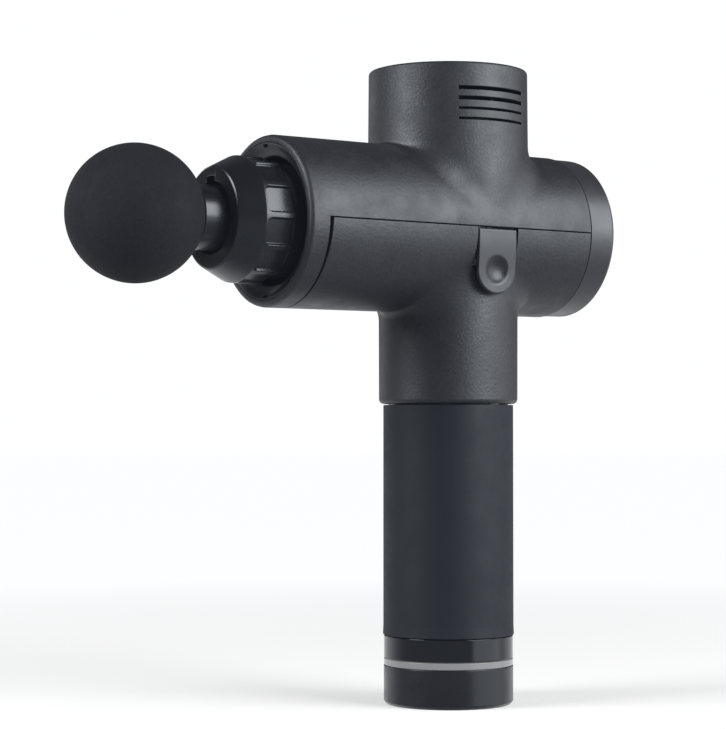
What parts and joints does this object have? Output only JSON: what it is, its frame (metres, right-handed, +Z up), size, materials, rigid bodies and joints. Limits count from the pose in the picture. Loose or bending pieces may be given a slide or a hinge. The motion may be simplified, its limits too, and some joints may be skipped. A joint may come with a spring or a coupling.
{
  "type": "massage gun",
  "caption": "T-shaped handheld percussion massage gun: horizontal barrel with a foam ball head, motor tower above and a slide-out battery grip it stands on.",
  "frame": {"origin": "centre of the base's flat underside, on the handle's axis", "axes": "+Z up along the handle; the massage head points towards -X along the stroke axis; +Y is the user's right hand side when the head points away from them"},
  "size_m": [0.2182, 0.0624, 0.24],
  "materials": {
    "casing": "fine textured matte",
    "satin_black": "smooth satin",
    "gloss_black": "gloss",
    "silicone": "soft matte",
    "foam": "matte foam",
    "light_guide": "milky translucent",
    "black_rubber": "matte",
    "cast_aluminium": "machined casting",
    "steel": "ground",
    "bronze": "sintered",
    "copper": "enamelled winding",
    "circuit_board": "solder mask",
    "cell_wrap": "shrink-wrapped steel can",
    "white_plastic": "moulded"
  },
  "bodies": {
    "housing": {"upper_casing": "casing", "lower_casing": "casing", "front_bezel": "satin_black", "rear_cap": "satin_black", "display_panel": "gloss_black", "light_guide": "light_guide", "control_board": "circuit_board", "left_tab_pin": "steel", "right_tab_pin": "steel", "mechanism_frame": "cast_aluminium", "main_bearing": "steel", "plate_damper": "black_rubber", "nose_damper": "black_rubber", "guide_bush": "bronze", "motor_base": "cast_aluminium", "motor_stator": "steel", "motor_winding": "copper", "frame_screw_1": "steel", "frame_screw_2": "steel", "frame_screw_3": "steel", "contact_carrier": "white_plastic"},
    "crank": {"motor_shaft": "steel", "rotor_bell": "steel", "rotor_magnets": "satin_black", "fan_impeller": "satin_black", "crank_disc": "steel", "crank_pin": "steel"},
    "roller": {"crank_roller": "steel"},
    "piston": {"piston_yoke": "steel", "piston_rod": "steel", "chuck_socket": "cast_aluminium", "chuck_screw": "steel"},
    "collar": {"lock_collar": "gloss_black"},
    "massage_head": {"head_stem": "satin_black", "rear_o_ring": "black_rubber", "front_o_ring": "black_rubber", "ball_head": "foam"},
    "battery_grip": {"grip_tube": "gloss_black", "grip_sleeve": "silicone", "light_ring": "light_guide", "base_cap": "satin_black", "charging_jack": "steel", "battery_board": "circuit_board", "battery_cell_1": "cell_wrap", "battery_cell_2": "cell_wrap", "battery_cell_3": "cell_wrap", "battery_cell_4": "cell_wrap", "battery_cell_5": "cell_wrap", "battery_cell_6": "cell_wrap", "cell_spacer": "white_plastic", "battery_plug": "satin_black"},
    "left_tab": {"left_release_tab": "casing"},
    "right_tab": {"right_release_tab": "casing"},
    "power_key": {"power_button": "satin_black"}
  },
  "joints": [
    {"name": "crank_spin", "type": "hinge", "parent": "housing", "child": "crank", "pos_m": [0, 0, 0.19], "axis": [0, 0, 1], "range_deg": [-90, 90]},
    {"name": "piston_stroke", "type": "slide", "parent": "housing", "child": "piston", "axis": [-1, 0, 0], "range_m": [-0.005, 0.005]},
    {"name": "roller_spin", "type": "hinge", "parent": "crank", "child": "roller", "pos_m": [0, 0.005, 0.179], "axis": [0, 0, 1], "continuous": true},
    {"name": "collar_twist", "type": "hinge", "parent": "piston", "child": "collar", "pos_m": [-0.09, 0, 0.179], "axis": [-1, 0, 0], "range_deg": [0, 45]},
    {"name": "head_pull", "type": "slide", "parent": "piston", "child": "massage_head", "axis": [-1, 0, 0], "range_m": [0, 0.036]},
    {"name": "grip_pull", "type": "slide", "parent": "housing", "child": "battery_grip", "axis": [0, 0, -1], "range_m": [0, 0.042]},
    {"name": "left_tab_press", "type": "hinge", "parent": "housing", "child": "left_tab", "pos_m": [0, -0.0294, 0.1745], "axis": [1, 0, 0], "range_deg": [0, 3.5], "stiffness_Nm_per_rad": 0.8, "springref_deg": -2.86},
    {"name": "right_tab_press", "type": "hinge", "parent": "housing", "child": "right_tab", "pos_m": [0, 0.0294, 0.1745], "axis": [-1, 0, 0], "range_deg": [0, 3.5], "stiffness_Nm_per_rad": 0.8, "springref_deg": -2.86},
    {"name": "power_press", "type": "slide", "parent": "housing", "child": "power_key", "axis": [-1, 0, 0], "range_m": [0, 0.001], "stiffness_N_per_m": 600, "springref_m": -0.001}
  ],
  "couplings": [
    {"joint": "crank_spin", "follows": "piston_stroke", "rad_per_m": 314.15}
  ]
}
